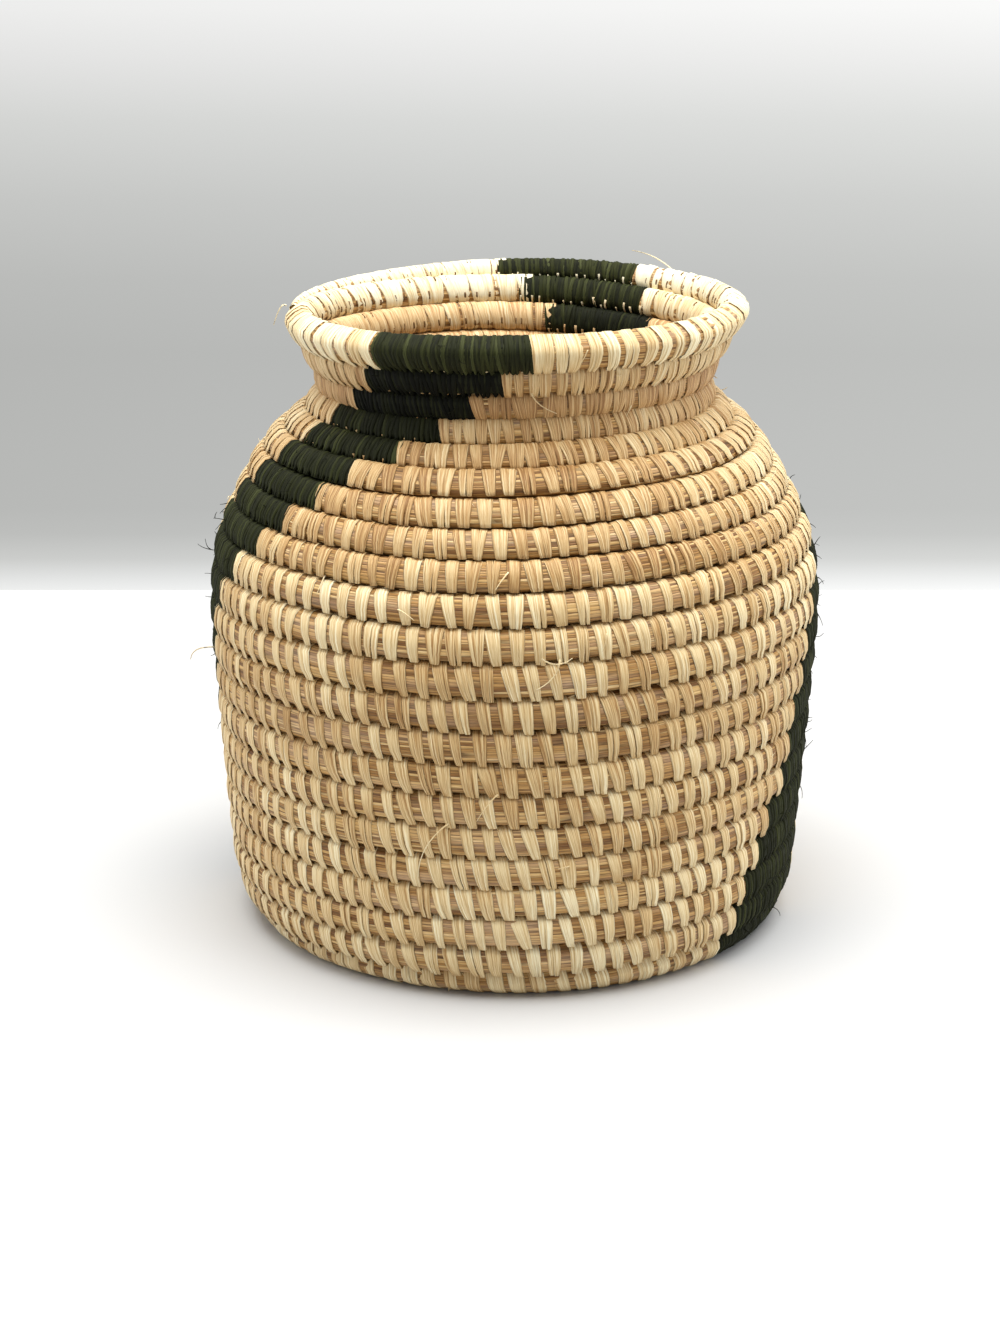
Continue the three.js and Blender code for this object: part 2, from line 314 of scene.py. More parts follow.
shade = add_node(tree, "ShaderNodeMath", {0: stalk_shade, 1: 0.85, 2: fine}, operation="MULTIPLY_ADD").outputs[0]
shade = add_node(tree, "ShaderNodeMath", {0: shade, 1: 0.46}, operation="SUBTRACT").outputs[0]
stalk_colour = colour_steps(
    tree, shade, ((0.0, "#6b431b"), (0.3, "#966d38"), (0.6, "#b4894e"), (0.85, "#cca76b"), (1.0, "#e3c794"))
)
patch_place = add_node(tree, "ShaderNodeVectorMath", {0: place, 1: PALE_PATCHES}, operation="MULTIPLY").outputs[0]
patches = add_node(tree, "ShaderNodeTexNoise", {"Vector": patch_place, "Scale": 1.0, "Detail": 1.5}).outputs[0]
patches = add_node(tree, "ShaderNodeMapRange", {0: patches, 1: 0.48, 2: 0.72, 3: 0.0, 4: 0.6}).outputs[0]
stalk_colour = add_node(
    tree, "ShaderNodeMix", {0: patches, 6: stalk_colour, 7: linear("#d0b08c")}, data_type="RGBA"
).outputs[2]
# The stalks darken towards their edges as painted shade in the gaps between them.
painted_stalk_gap_shade = add_node(tree, "ShaderNodeMapRange", {0: gaps, 1: 0.0, 2: 0.14, 3: 0.4, 4: 1.0}).outputs[0]
shaded = add_node(tree, "ShaderNodeVectorMath", {0: stalk_colour, "Scale": painted_stalk_gap_shade}, operation="SCALE").outputs[0]
relief = add_node(tree, "ShaderNodeBump", {"Height": gaps, "Strength": 0.7, "Distance": 0.5 * MM}).outputs[0]
tree.links.new(shaded, surface.inputs["Base Color"])
tree.links.new(relief, surface.inputs["Normal"])
surface.inputs["Roughness"].default_value = 0.55
surface.inputs["Specular IOR Level"].default_value = 0.35

# The base's bundle reaches a little into the wall's, so that no seam shows.
BASE_OVERLAP = 0.01
for name, first, last in (("straw_base_coil", START_TURN, BASE_OVERLAP), ("straw_wall_coil", 0.0, END_TURN)):
    coil = show(name, skin(name, [tube(first, last, STRAW_DEPTH, STRAW_RISE)]))
    coil.data.materials.append(straw)
    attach(coil, "root")
    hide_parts(name.removeprefix("straw_"))

# Natural raffia stitches.
# One long strand of flattened palm raffia goes round the coil in spaced wraps that lean a little, and each wrap bites
# into the row below. The strand often splits lengthwise into two or three fibres, so no two stitches match.

# Distance between stitches in mm and their width, at rows counted from the rim.
SEWING_ROWS = (1, 1.6, 2, 4, 5, 7, 8, 9, 10, 12, 22)
SEWING_SPACING = (5.6, 4.8, 4.3, 4.3, 5.6, 6.0, 6.2, 6.2, 6.4, 6.4, 6.4)
SEWING_WIDTH = (3.7, 3.8, 3.9, 4.0, 4.5, 4.6, 4.5, 4.3, 4.4, 4.3, 4.5)
# Shares of these that one run of stitches may have.
SPACING_SPREAD = (0.95, 1.05)
WIDTH_SPREAD = (0.94, 1.06)
# Share by which the stitches are wider at the back, where the inside of the neck is all but covered.
BACK_WIDER_ROWS = (1, 3, 5, 7)
BACK_WIDER = (0.45, 0.35, 0.1, 0.0)
# Colour of the raffia at rows counted from the rim, at the front and at the back: how pale, and how rosy. The paleness
# is mostly the strand's own tone, but at the front it also holds painted light: the neck rows under the rim are darker
# as painted shade, and the lowest rows by the foot are paler as painted bounce light from the floor.
TINT_ROWS = (1, 2, 3, 4, 5, 7, 8, 9, 10, 11, 12, 14, 17, 19, 20, 22)
FRONT_PALE_AND_PAINTED_LIGHT = (0.12, -0.18, -0.34, -0.16, -0.2, -0.2, -0.22, -0.28, -0.02, 0.04, -0.03, -0.06, 0.0, 0.06, 0.06, 0.1)
BACK_PALE = (0.6, 0.2, -0.38, 0.1, 0.3, 0.4, 0.4, 0.3, 0.15, 0.1, 0.1, 0.1, 0, 0, 0, 0)
FRONT_ROSY = (0.0, 0.15, 0.3, 0.2, 0.15, 0.12, 0.1, 0.05, 0.0, 0, 0, 0, 0, 0, 0, 0)
BACK_ROSY = (0.0, 0.3, 0.5, 0.3, 0.0, 0.0, 0, 0, 0, 0, 0, 0, 0, 0, 0, 0)
# Beside a dark block the stitches stand closer over a short run, and are narrower by this share.
CLOSE_RUN = 9.0
CLOSE_SPACING = 3.5
CLOSE_WIDTH = 0.85
# A run ends this share of its spacing before a block. These shares of that gap lie before the close run and after it.
CLEAR_OF_BLOCK = 0.45
BEFORE_CLOSE_RUN = 0.4
AFTER_CLOSE_RUN = 1.6
# The thin end of the coil is bound down with stitches that all but touch.
END_SPACING = 3.3
# The dark blocks' ends are uneven by up to this many mm.
RAGGED = 1.3
# A strand lies on the coil with its edges a little lower than its middle, which is flat over this share of its width
# to each side.
RIBBON_EDGE = 0.995
RIBBON_CROWN = 1.025
FLAT_PART = 0.4
# Width of a wrap along its way: from the groove below, up the inner face, over the top and down the outer face.
WRAP_PLACES = (0, 0.12, 0.33, 0.5, 0.62, 0.75, 0.86, 0.93, 1)
WRAP_WIDTHS = (0.55, 0.8, 1.15, 1.15, 1.1, 0.97, 0.8, 0.68, 0.55)
WRAP_SAMPLES = (0, 0.095, 0.155, 0.25, 0.345, 0.405, 0.5, 0.595, 0.655, 0.75, 0.82, 0.87, 0.93, 1)
OUTER_FACE = 0.75
FAN_PLACE = 0.6
WAVERS_ROUND = 5
WAVERS_ACROSS = 7
# At its start a wrap reaches past the groove by BITE. Its outer end crosses the groove, dives into the row below and
# is tucked in there. DIVE is how far past the groove, as a share of the half width.
BITE = 0.07
BITE_SHARE = 0.07
DIVE = 0.09
DIVE_FROM = 0.85
DIVE_SHARE = 0.1
DIVE_DEPTH = 0.84
TUCK_SHARE = 0.06
TUCK_IN = 0.36
TUCK_UP = 0.1
# A strand's UV map is in mm, for a strand of this width. Its fibres lie this far apart on it, so that they differ.
UV_WIDTH = 4
UV_APART = 23
GUIDE_STEPS_PER_LOOP = 120
# Left and right edge of the front band, in degrees from the front, at shares of the way from the foot to the rim.
BAND_COURSE = (
    (0, -132, -100), (0.1, -129, -95), (0.24, -117.5, -87), (0.48, -105, -75),
    (0.76, -66, -40), (0.86, -57, -19), (1, -35, 5),
)
# The back band reaches down to the foot row, the front one ends a row above it. The solids have both from row 2 up.
LOWEST_DARK_ROWS = (("front", 0, 2), ("back", 180, 1))
FIRST_SOLID_ROW = 2


def wrap_fibre(
    lane,
    width,
    shift,
    crown,
    waver=0.0,
    fan=0.0,
    places=WRAP_SAMPLES,
    dive=DIVE,
    flat=FLAT_PART,
    edge=RIBBON_EDGE,
):
    """One fibre of a wrap round a unit section, as closed rings: along the coil in mm, outwards, and down the wall.
    It starts in the groove below, climbs the inner face, crosses the top and comes down the outer face."""
    share = np.array(places, float)
    out, onward = section_round(1.5 * math.pi - 2 * math.pi * share)
    sunk = np.clip((share - DIVE_FROM) / DIVE_SHARE, 0, 1) * (dive > 0)
    sunk = sunk**2 * (3 - 2 * sunk)
    tucked = np.clip((share - DIVE_FROM - DIVE_SHARE) / TUCK_SHARE, 0, 1)
    out = out * (1 - sunk) + (DIVE_DEPTH - TUCK_IN * tucked) * sunk
    onward = onward * (1 - sunk) - (1 + dive - TUCK_UP * tucked) * sunk
    narrow = np.interp(share, WRAP_PLACES, WRAP_WIDTHS)
    middle = shift * (share - OUTER_FACE) + lane * narrow * (1 + fan * (share - FAN_PLACE))
    middle = middle + waver * np.sin(WAVERS_ROUND * share + WAVERS_ACROSS * lane)
    across = np.array([-0.5, -flat, flat, 0.5]) * width
    height = np.array([edge, crown, crown, edge])
    along = middle[:, None] + across[None] * narrow[:, None]
    reach = height[None] + BITE * np.exp(-((share[:, None] / BITE_SHARE) ** 2))
    rings = np.stack([along, reach * out[:, None], -reach * onward[:, None]], -1)
    seam = np.array([-0.5, -flat, flat, 0.5, 0.5]) * width * UV_WIDTH + lane * UV_APART
    marks = np.stack(np.broadcast_arrays(seam[None], (share * COIL_GIRTH)[:, None]), -1)
    return rings, marks


def wrap_set(name, designs):
    """A collection of stitch shapes for the trees to pick from. It is never shown itself."""
    shapes = bpy.data.collections.new(name)
    for number, fibres in enumerate(designs):
        mesh = skin(f"{name}_{number}", fibres, scale=1.0)
        shapes.objects.link(bpy.data.objects.new(mesh.name, mesh))
    return shapes


def stitch_tree():
    """Wraps along guide lines: the lines carry their outward direction, half size and spacing as attributes."""
    tree = bpy.data.node_groups.new("stitches_along_coil", "GeometryNodeTree")
    sockets = {}
    for name, kind in (
        ("Guide", "NodeSocketGeometry"),
        ("Shapes", "NodeSocketCollection"),
        ("Shape Count", "NodeSocketInt"),
        ("Shuffle", "NodeSocketFloat"),
        ("Lean Spread", "NodeSocketFloat"),
        ("Least Width", "NodeSocketFloat"),
        ("Most Width", "NodeSocketFloat"),
        ("Size Spread", "NodeSocketFloat"),
        ("Seed", "NodeSocketInt"),
        ("Finish", "NodeSocketMaterial"),
    ):
        sockets[name] = tree.interface.new_socket(name=name, in_out="INPUT", socket_type=kind).identifier
    tree.interface.new_socket(name="Stitches", in_out="OUTPUT", socket_type="NodeSocketGeometry")
    given = tree.nodes.new("NodeGroupInput").outputs

    def attribute(name, kind):
        return add_node(tree, "GeometryNodeInputNamedAttribute", {0: name}, data_type=kind).outputs[0]

    def chance(low, high, seed):
        seed = add_node(tree, "ShaderNodeMath", {0: given["Seed"], 1: seed}, operation="ADD").outputs[0]
        return add_node(tree, "FunctionNodeRandomValue", {2: low, 3: high, 8: seed}, data_type="FLOAT").outputs[1]

    def minus(value):
        return add_node(tree, "ShaderNodeMath", {0: value, 1: -1.0}, operation="MULTIPLY").outputs[0]

    line = add_node(tree, "GeometryNodeMeshToCurve", {0: given["Guide"]}).outputs[0]
    line = add_node(
        tree, "GeometryNodeResampleCurve", {"Curve": line, "Length": attribute("spacing", "FLOAT")}, mode="LENGTH"
    ).outputs[0]
    tangent = add_node(tree, "GeometryNodeInputTangent").outputs[0]
    shift = chance(minus(given["Shuffle"]), given["Shuffle"], 1)
    shift = add_node(tree, "ShaderNodeVectorMath", {0: tangent, "Scale": shift}, operation="SCALE").outputs[0]
    placed = add_node(tree, "GeometryNodeSetPosition", {"Geometry": line, "Offset": shift}).outputs[0]
    turn = add_node(
        tree,
        "FunctionNodeAxesToRotation",
        {0: tangent, 1: attribute("outward", "FLOAT_VECTOR")},
        primary_axis="X",
        secondary_axis="Y",
    ).outputs[0]
    lean = chance(minus(given["Lean Spread"]), given["Lean Spread"], 2)
    lean = add_node(tree, "FunctionNodeAxisAngleToRotation", {0: (0, 1, 0), 1: lean}).outputs[0]
    turn = add_node(tree, "FunctionNodeRotateRotation", {0: turn, 1: lean}, rotation_space="LOCAL").outputs[0]
    swell = chance(minus(given["Size Spread"]), given["Size Spread"], 3)
    swell = add_node(tree, "ShaderNodeMath", {0: swell, 1: 1.0}, operation="ADD").outputs[0]
    half = add_node(
        tree, "ShaderNodeMath", {0: attribute("half", "FLOAT"), 1: swell}, operation="MULTIPLY"
    ).outputs[0]
    depth = add_node(tree, "ShaderNodeMath", {0: half, 1: DEPTH_SHARE}, operation="MULTIPLY").outputs[0]
    width = chance(given["Least Width"], given["Most Width"], 4)
    width = add_node(
        tree, "ShaderNodeMath", {0: width, 1: attribute("width", "FLOAT")}, operation="MULTIPLY"
    ).outputs[0]
    size = add_node(tree, "ShaderNodeCombineXYZ", {0: width, 1: depth, 2: half}).outputs[0]
    shapes = add_node(
        tree,
        "GeometryNodeCollectionInfo",
        {"Collection": given["Shapes"], "Separate Children": True, "Reset Children": True},
    ).outputs[0]
    last_shape = add_node(tree, "ShaderNodeMath", {0: given["Shape Count"], 1: 1.0}, operation="SUBTRACT").outputs[0]
    pick_seed = add_node(tree, "ShaderNodeMath", {0: given["Seed"], 1: 5}, operation="ADD").outputs[0]
    pick = add_node(
        tree, "FunctionNodeRandomValue", {4: 0, 5: last_shape, 8: pick_seed}, data_type="INT"
    ).outputs[2]
    wraps = add_node(
        tree,
        "GeometryNodeInstanceOnPoints",
        {
            "Points": placed,
            "Instance": shapes,
            "Pick Instance": True,
            "Instance Index": pick,
            "Rotation": turn,
            "Scale": size,
        },
    ).outputs[0]
    toned = add_node(
        tree,
        "GeometryNodeStoreNamedAttribute",
        {"Geometry": wraps, "Name": "tone", "Value": chance(0.0, 1.0, 6)},
        data_type="FLOAT",
        domain="INSTANCE",
    ).outputs[0]
    real = add_node(tree, "GeometryNodeRealizeInstances", {"Geometry": toned}).outputs[0]
    done = add_node(
        tree, "GeometryNodeSetMaterial", {"Geometry": real, "Material": given["Finish"]}
    ).outputs[0]
    tree.links.new(done, tree.nodes.new("NodeGroupOutput").inputs[0])
    return tree, sockets


def guide_mesh(stretches, front_pale_and_painted_light, back_pale, back_wider):
    """Guide lines along the coil for (first turn, last turn, spacing in mm, width in mm) stretches."""
    points, edges = [], []
    marks = {name: [] for name in ("outward", "half", "spacing", "width", "pale", "rosy")}
    start = 0
    for first, last, spacing, width in stretches:
        count = max(2, int((last - first) * GUIDE_STEPS_PER_LOOP))
        turns = np.linspace(first, last, count)
        centre, out, _, half = coil_at(turns)
        back = towards_back(turns)
        from_rim = ROWS + 1 - turns
        edges += [(start + i, start + i + 1) for i in range(count - 1)]
        points.append(centre)
        marks["outward"].append(out)
        marks["half"].append(half * MM)
        marks["spacing"].append(np.full(count, spacing * MM))
        wider = 1 + back_wider * back * np.interp(from_rim, BACK_WIDER_ROWS, BACK_WIDER)
        marks["width"].append(width * MM * wider)
        for name, front_tint, back_tint in (("pale", front_pale_and_painted_light, back_pale), ("rosy", FRONT_ROSY, BACK_ROSY)):
            front_tint, back_tint = (np.interp(from_rim, TINT_ROWS, tint) for tint in (front_tint, back_tint))
            marks[name].append(front_tint * (1 - back) + back_tint * back)
        start += count
    mesh = bpy.data.meshes.new("guide")
    mesh.from_pydata((np.vstack(points) * MM).tolist(), edges, [])
    outward = mesh.attributes.new("outward", "FLOAT_VECTOR", "POINT")
    outward.data.foreach_set("vector", np.vstack(marks.pop("outward")).ravel())
    for name, values in marks.items():
        mesh.attributes.new(name, "FLOAT", "POINT").data.foreach_set("value", np.concatenate(values))
    return mesh


tree_of_stitches, stitch_inputs = stitch_tree()


def sew(name, stretches, front_pale_and_painted_light=FRONT_PALE_AND_PAINTED_LIGHT, back_pale=BACK_PALE, back_wider=1, **settings):
    """Runs the tree over guide lines and returns the stitches as a plain mesh object."""
    guide = show(name + "_guide", guide_mesh(stretches, front_pale_and_painted_light, back_pale, back_wider))
    modifier = guide.modifiers.new("stitches", "NODES")
    modifier.node_group = tree_of_stitches
    for label, value in settings.items():
        modifier[stitch_inputs[label.replace("_", " ").title()]] = value
    bpy.context.view_layer.update()
    mesh = bpy.data.meshes.new_from_object(guide.evaluated_get(bpy.context.evaluated_depsgraph_get()))
    mesh.name = name
    guide.modifiers.clear()
    bpy.data.objects.remove(guide)
    mesh.polygons.foreach_set("use_smooth", np.ones(len(mesh.polygons), bool))
    for vertex in mesh.vertices:
        vertex.co.z = max(vertex.co.z, FLOOR_TOUCH * MM)
    return show(name, mesh)


def band_edges(row):
    """Left and right edge of the front band in degrees, for a row counted from the foot."""
    shares, lefts, rights = zip(*BAND_COURSE)
    share = (row - 1) / (ROWS - 1)
    return np.interp(share, shares, lefts), np.interp(share, shares, rights)


def loop_length(turn):
    """Length in mm of one loop of the coil."""
    return 2 * math.pi * float(profile_at(np.array([turn]))[0, 0])


draw = random.Random(11)


def give_or_take(spread):
    return draw.uniform(-spread, spread)


dark_blocks = []
for side, turned_by, lowest_row in LOWEST_DARK_ROWS:
    for row in range(lowest_row, ROWS + 1):
        first, last = (
            row + (edge + turned_by) / 360 + give_or_take(RAGGED) / loop_length(row)
            for edge in band_edges(row)
        )
        dark_blocks.append((first, last, side, row))
dark_blocks.sort()

natural_stretches = []
opened = 0.0
for first, last, *_ in [*dark_blocks, (END_TURN, END_TURN)]:
    loop = loop_length(first)
    from_rim = ROWS + 1 - (opened + first) / 2
    spacing = np.interp(from_rim, SEWING_ROWS, SEWING_SPACING) * draw.uniform(*SPACING_SPREAD)
    width = np.interp(from_rim, SEWING_ROWS, SEWING_WIDTH) * draw.uniform(*WIDTH_SPREAD)
    if first == END_TURN:
        spacing = END_SPACING
    close = CLOSE_RUN / loop
    near = spacing * CLEAR_OF_BLOCK / loop
    start = opened + near * BEFORE_CLOSE_RUN
    natural_stretches.append((start, opened + close, CLOSE_SPACING, width * CLOSE_WIDTH))
    natural_stretches.append((opened + close + near * AFTER_CLOSE_RUN, first - near, spacing, width))
    opened = last

# Dried raffia: ivory to tan, matt with a faint sheen, with fine fibre lines along the strand. The lines are given per
# mm across and along it, and are drawn coarser than real ones so that they show. Each strand reads its own part of the
# pattern. Patches of strands about 36 mm across are darker or paler.
RAFFIA_FIBRES = (2.4, 0.05, 0)
RAFFIA_SHIFT = (37.0, 91.0, 0)
PATCHES_PER_METRE = 28.0
raffia, tree, surface = new_material("natural_dried_raffia")
place = add_node(tree, "ShaderNodeUVMap", uv_map="UVMap").outputs[0]
tone = add_node(tree, "ShaderNodeAttribute", attribute_name="tone").outputs["Fac"]
tone_shift = add_node(tree, "ShaderNodeVectorMath", {0: RAFFIA_SHIFT, "Scale": tone}, operation="SCALE").outputs[0]
own_place = add_node(tree, "ShaderNodeVectorMath", {0: place, 1: tone_shift}, operation="ADD").outputs[0]
fibre_place = add_node(tree, "ShaderNodeVectorMath", {0: own_place, 1: RAFFIA_FIBRES}, operation="MULTIPLY").outputs[0]
fibres = add_node(
    tree, "ShaderNodeTexNoise", {"Vector": fibre_place, "Scale": 1.0, "Detail": 4.0, "Roughness": 0.65}
).outputs[0]
pale = add_node(tree, "ShaderNodeAttribute", attribute_name="pale").outputs["Fac"]
rosy = add_node(tree, "ShaderNodeAttribute", attribute_name="rosy").outputs["Fac"]
shade = add_node(tree, "ShaderNodeMath", {0: fibres, 1: 2.5, 2: -0.89}, operation="MULTIPLY_ADD").outputs[0]
shade = add_node(tree, "ShaderNodeMath", {0: tone, 1: 0.28, 2: shade}, operation="MULTIPLY_ADD").outputs[0]
# The paleness adds painted shade to the front neck under the rim and painted light to the front rows by the foot.
shade = add_node(tree, "ShaderNodeMath", {0: shade, 1: pale}, operation="ADD").outputs[0]
body_place = add_node(tree, "ShaderNodeTexCoord").outputs["Object"]
patches = add_node(
    tree, "ShaderNodeTexNoise", {"Vector": body_place, "Scale": PATCHES_PER_METRE, "Detail": 1.0}
).outputs[0]
patches = add_node(tree, "ShaderNodeMath", {0: patches, 1: 0.5, 2: -0.25}, operation="MULTIPLY_ADD").outputs[0]
shade = add_node(tree, "ShaderNodeMath", {0: shade, 1: patches}, operation="ADD").outputs[0]
raffia_colour = colour_steps(
    tree, shade, ((0.0, "#8a6334"), (0.25, "#b8915b"), (0.5, "#d4b885"), (0.75, "#e7d2a4"), (1.0, "#f8efcd"))
)
rosy_share = add_node(tree, "ShaderNodeMath", {0: rosy, 1: 0.5}, operation="MULTIPLY").outputs[0]
raffia_colour = add_node(
    tree, "ShaderNodeMix", {0: rosy_share, 6: raffia_colour, 7: linear("#dca97b")}, data_type="RGBA"
).outputs[2]
relief = add_node(tree, "ShaderNodeBump", {"Height": fibres, "Strength": 0.9, "Distance": 0.45 * MM}).outputs[0]
tree.links.new(raffia_colour, surface.inputs["Base Color"])
tree.links.new(relief, surface.inputs["Normal"])
surface.inputs["Roughness"].default_value = 0.55
surface.inputs["Specular IOR Level"].default_value = 0.35

# Fibres in each design of stitch, how far they fan out, and how much of the whole width each takes. The belly has flat
# single tabs, the shoulder and neck more split ones.
TABS = (
    (1, 0.0, 0.95), (1, 0.0, 1.05), (1, 0.0, 0.88), (1, 0.0, 1.0), (1, 0.0, 1.02), (2, 0.1, 0.56), (2, 0.5, 0.53),
    (1, 0.0, 0.92), (3, 0.15, 0.4),
)
SPLIT = (
    (1, 0.0, 1.0), (2, 0.1, 0.58), (2, 0.6, 0.55), (1, 0.0, 0.95), (1, 0.0, 0.88), (3, 0.3, 0.4), (1, 0.0, 1.05),
    (2, -0.9, 0.56), (2, -0.4, 0.6), (2, 0.2, 0.56),
)
# How far a stitch shifts along the coil on its way round, in widths.
TAB_SLANT = (0.7, 1.6)
SPLIT_SLANT = (0.2, 1.1)
# A stitch's fibres lie a little apart, at crowns a step higher or lower. Each differs from the rest by these spreads.
FIBRES_APART = 1.05
CROWN_STEP = 0.014
FIBRE_WIDTHS = (0.9, 1.1)
SLANT_SPREAD = 0.08
CROWN_SPREAD = 0.004
WAVER_SPREAD = 0.07
FAN_SPREAD = 0.15


def raffia_designs(kinds, slant):
    """Shapes of natural stitch, each of one to three fibres side by side."""
    made = []
    for fibre_count, fan, share in kinds:
        shift = draw.uniform(*slant)
        made.append(
            [
                wrap_fibre(
                    ((fibre + 0.5) / fibre_count - 0.5) * FIBRES_APART,
                    share * draw.uniform(*FIBRE_WIDTHS),
                    shift + give_or_take(SLANT_SPREAD),
                    RIBBON_CROWN + CROWN_STEP * ((fibre * 2) % 3) + give_or_take(CROWN_SPREAD),
                    give_or_take(WAVER_SPREAD),
                    fan + give_or_take(FAN_SPREAD),
                )
                for fibre in range(fibre_count)
            ]
        )
    return made


tab_shapes = wrap_set("raffia_tabs", raffia_designs(TABS, TAB_SLANT))
split_shapes = wrap_set("split_raffia_wraps", raffia_designs(SPLIT, SPLIT_SLANT))
# Sizes are in metres here, the lean in radians, and widths and sizes are shares.
SEWN = dict(
    shuffle=0.6 * MM,
    lean_spread=0.09,
    least_width=0.85,
    most_width=1.15,
    size_spread=0.008,
    finish=raffia,
)
# Each piece takes the stretches between two turns.
for name, low, high, shapes in (
    ("natural_stitches_foot", 0, 6, tab_shapes),
    ("natural_stitches_belly", 6, 12, tab_shapes),
    ("natural_stitches_shoulder", 12, 17, split_shapes),
    ("natural_stitches_neck", 17, 23, split_shapes),
):
    chosen = [stretch for stretch in natural_stretches if low <= (stretch[0] + stretch[1]) / 2 < high]
    stitches = sew(name, chosen, seed=100 * low, shapes=shapes, shape_count=len(shapes.objects), **SEWN)
    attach(stitches, "root")

# The base is sewn from this many turns past the coil's tip to this many before the wall. Its stitches are in mm.
PAST_TIP = 0.25
BEFORE_WALL = 0.02
BASE_SPACING = 6.4
BASE_WIDTH = 4.1
base_stretch = (START_TURN + PAST_TIP, -BEFORE_WALL, BASE_SPACING, BASE_WIDTH)
base_stitches = sew(
    "natural_stitches_base", [base_stretch], seed=400, shapes=tab_shapes, shape_count=len(TABS), **SEWN
)
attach(base_stitches, "root")

# Dark bands.
# In two stepped bands on opposite sides the strand is dyed black-green and wound edge to edge over an under-winding, so
# that no straw shows. The wraps overlap a little, and each stands as a fine ridge.
DARK_SPACING = 1.4
DARK_WIDTH = 1.9
DARK_DESIGNS = 10
DARK_WIDTHS = (0.75, 1.2)
DARK_SLANT = (0.0, 2.2)
DARK_CROWN = (1.015, 1.065)
DARK_WAVER = 0.25
DARK_DIVE = 0.08
DARK_FLAT_PART = 0.14
DARK_EDGE = 0.94
# The under-winding's depth and rise as shares of the coil's half width. It lies between the straw and the wraps.
UNDER_DEPTH = 0.95
UNDER_RISE = 0.975
# The blocks' colour at rows counted from the rim: near black in the neck, greener at the rim. The front neck rows are
# darkened further as painted shade under the rim.
DYED_TINT_AND_PAINTED_SHADE = (0.06, -0.4, -0.42, -0.1, 0.0, 0, 0, 0.05, 0.05, 0, 0, 0, 0, 0, 0, 0)
DYED_TINT_BACK = (0.2, 0.0, -0.2, 0.0, 0.0, 0, 0, 0.05, 0.05, 0, 0, 0, 0, 0, 0, 0)

# Dyed raffia: near black with a green cast, duller than the natural strand, with a rare wrap of a lighter olive. Its
# fibre lines are given as those of the natural strand are.
DYED_FIBRES = (3.0, 0.1, 0)
DYED_SHIFT = (23.0, 57.0, 0)
dyed, tree, surface = new_material("dyed_black_green_raffia")
place = add_node(tree, "ShaderNodeUVMap", uv_map="UVMap").outputs[0]
tone = add_node(tree, "ShaderNodeAttribute", attribute_name="tone").outputs["Fac"]
tone_shift = add_node(tree, "ShaderNodeVectorMath", {0: DYED_SHIFT, "Scale": tone}, operation="SCALE").outputs[0]
own_place = add_node(tree, "ShaderNodeVectorMath", {0: place, 1: tone_shift}, operation="ADD").outputs[0]
fibre_place = add_node(tree, "ShaderNodeVectorMath", {0: own_place, 1: DYED_FIBRES}, operation="MULTIPLY").outputs[0]
fibres = add_node(tree, "ShaderNodeTexNoise", {"Vector": fibre_place, "Scale": 1.0, "Detail": 3.0}).outputs[0]
dyed_tint_and_painted_shade = add_node(tree, "ShaderNodeAttribute", attribute_name="pale").outputs["Fac"]
rare = add_node(tree, "ShaderNodeMath", {0: tone, 1: 2.5}, operation="POWER").outputs[0]
shade = add_node(tree, "ShaderNodeMath", {0: rare, 1: 0.32, 2: fibres}, operation="MULTIPLY_ADD").outputs[0]
# The tint adds painted shade to the front neck rows under the rim.
shade = add_node(tree, "ShaderNodeMath", {0: shade, 1: dyed_tint_and_painted_shade}, operation="ADD").outputs[0]
dyed_colour = colour_steps(tree, shade, ((0.2, "#0b0c07"), (0.5, "#1b1d10"), (0.75, "#303319"), (1.0, "#4b4f30")))
relief = add_node(tree, "ShaderNodeBump", {"Height": fibres, "Strength": 0.5, "Distance": 0.25 * MM}).outputs[0]
tree.links.new(dyed_colour, surface.inputs["Base Color"])
tree.links.new(relief, surface.inputs["Normal"])
surface.inputs["Roughness"].default_value = 0.65
surface.inputs["Specular IOR Level"].default_value = 0.08

designs = [
    [
        wrap_fibre(
            0,
            draw.uniform(*DARK_WIDTHS),
            draw.uniform(*DARK_SLANT),
            draw.uniform(*DARK_CROWN),
            give_or_take(DARK_WAVER),
            dive=DARK_DIVE,
            flat=DARK_FLAT_PART,
            edge=DARK_EDGE,
        )
    ]
    for _ in range(DARK_DESIGNS)
]
dark_shapes = wrap_set("dark_wraps", designs)
for number, side in enumerate(("front", "back")):
    blocks = [(first, last, DARK_SPACING, DARK_WIDTH) for first, last, band, _ in dark_blocks if band == side]
    under = f"dark_{side}_under_winding"
    under_winding = show(under, skin(under, [tube(first, last, UNDER_DEPTH, UNDER_RISE) for first, last, *_ in blocks]))
    under_winding.data.materials.append(dyed)
    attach(under_winding, "root")
    band = sew(
        f"dark_{side}_band",
        blocks,
        front_pale_and_painted_light=DYED_TINT_AND_PAINTED_SHADE,
        back_pale=DYED_TINT_BACK,
        back_wider=0,
        shapes=dark_shapes,
        shape_count=len(designs),
        shuffle=0.25 * MM,
        lean_spread=0.12,
        least_width=0.85,
        most_width=1.2,
        size_spread=0.012,
        seed=500 + number,
        finish=dyed,
    )
    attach(band, "root")
    solid_rows = [row for *_, owner, row in dark_blocks if owner == side and row >= FIRST_SOLID_ROW]
    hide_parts(*[f"{side}_dark_band_row_{row:02d}" for row in solid_rows])

# Pale ticks.
# On the neck's dark rows the points of undyed stitches show as small teeth along the lower edge, inside and outside.
TICK_SPACING = 3.6
TICK_WIDTH = 0.9
TICK_CROWN = 1.055
TICK_POINTS = 4
FIRST_NECK_ROW = 18


def tick(lane, width, shift, begin, end):
    """A short piece of a wrap that stands a little proud, between two shares of the way round."""
    return wrap_fibre(lane, width, shift, TICK_CROWN, places=np.linspace(begin, end, TICK_POINTS), dive=0)


